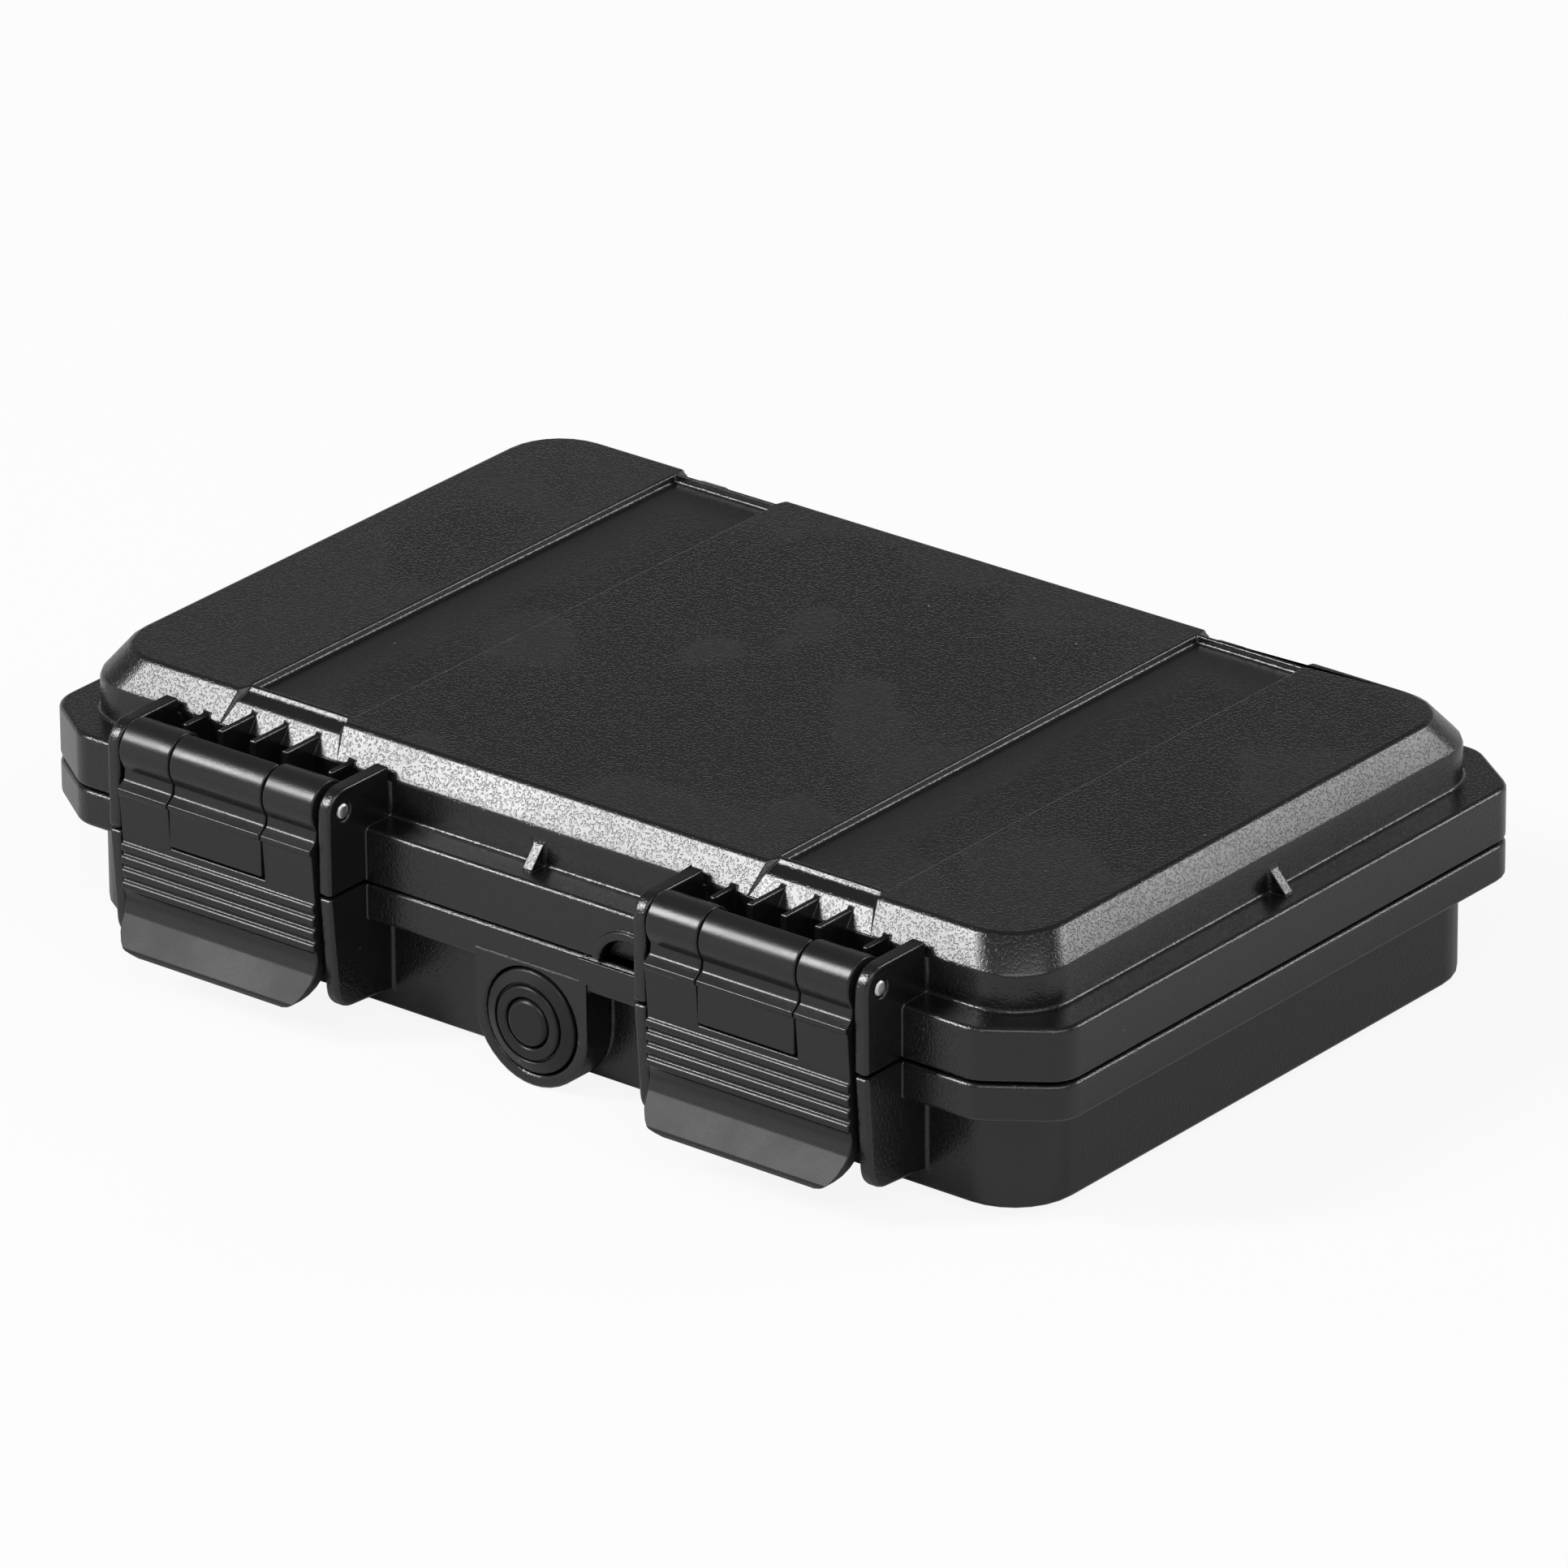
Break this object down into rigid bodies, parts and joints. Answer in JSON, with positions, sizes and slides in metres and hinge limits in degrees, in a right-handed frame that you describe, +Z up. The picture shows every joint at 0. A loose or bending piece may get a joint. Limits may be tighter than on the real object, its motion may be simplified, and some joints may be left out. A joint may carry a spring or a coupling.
{
  "type": "compact hard case",
  "caption": "Small hinged hard case with a gasketed lid, lever latches with catch hooks, an air valve and a flanged rim.",
  "frame": {"origin": "middle of the underside's flat plinth, centred on the flange's plan", "axes": "+X to the right along the front, +Y towards the hinges, +Z up; the latches face -Y"},
  "size_m": [0.23, 0.1722, 0.0524],
  "materials": {
    "shell": "fine moulded grain, black",
    "latch": "satin, black",
    "valve": "satin, black",
    "steel": "cut pin stock",
    "rubber": "soft, dull"
  },
  "bodies": {
    "base": {"base_shell": "shell", "hinge_pin_left": "steel", "hinge_pin_right": "steel", "valve_housing": "valve", "valve_seal": "rubber", "valve_membrane": "rubber", "valve_cap": "valve", "valve_nut": "valve"},
    "lid": {"lid_shell": "shell", "lid_gasket": "rubber", "latch_pivot_pin_left_inner": "steel", "latch_pivot_pin_left_outer": "steel", "latch_pivot_pin_right_inner": "steel", "latch_pivot_pin_right_outer": "steel"},
    "lever_left": {"latch_lever_left": "latch", "latch_link_pin_left": "steel"},
    "lever_right": {"latch_lever_right": "latch", "latch_link_pin_right": "steel"},
    "hook_left": {"latch_hook_left": "latch"},
    "hook_right": {"latch_hook_right": "latch"}
  },
  "joints": [
    {"name": "lid_hinge", "type": "hinge", "parent": "base", "child": "lid", "pos_m": [0, 0.0793, 0.0366], "axis": [-1, 0, 0], "range_deg": [0, 110]},
    {"name": "latch_left", "type": "hinge", "parent": "lid", "child": "lever_left", "pos_m": [-0.0602, -0.0795, 0.0448], "axis": [-1, 0, 0], "range_deg": [0, 110]},
    {"name": "latch_right", "type": "hinge", "parent": "lid", "child": "lever_right", "pos_m": [0.0602, -0.0795, 0.0448], "axis": [-1, 0, 0], "range_deg": [0, 110]},
    {"name": "hook_left", "type": "hinge", "parent": "lever_left", "child": "hook_left", "pos_m": [-0.0602, -0.0801, 0.0466], "axis": [-1, 0, 0], "range_deg": [-55, 0]},
    {"name": "hook_right", "type": "hinge", "parent": "lever_right", "child": "hook_right", "pos_m": [0.0602, -0.0801, 0.0466], "axis": [-1, 0, 0], "range_deg": [-55, 0]}
  ],
  "couplings": [
    {"joint": "hook_left", "follows": "latch_left", "ratio": -0.5},
    {"joint": "hook_right", "follows": "latch_right", "ratio": -0.5}
  ]
}
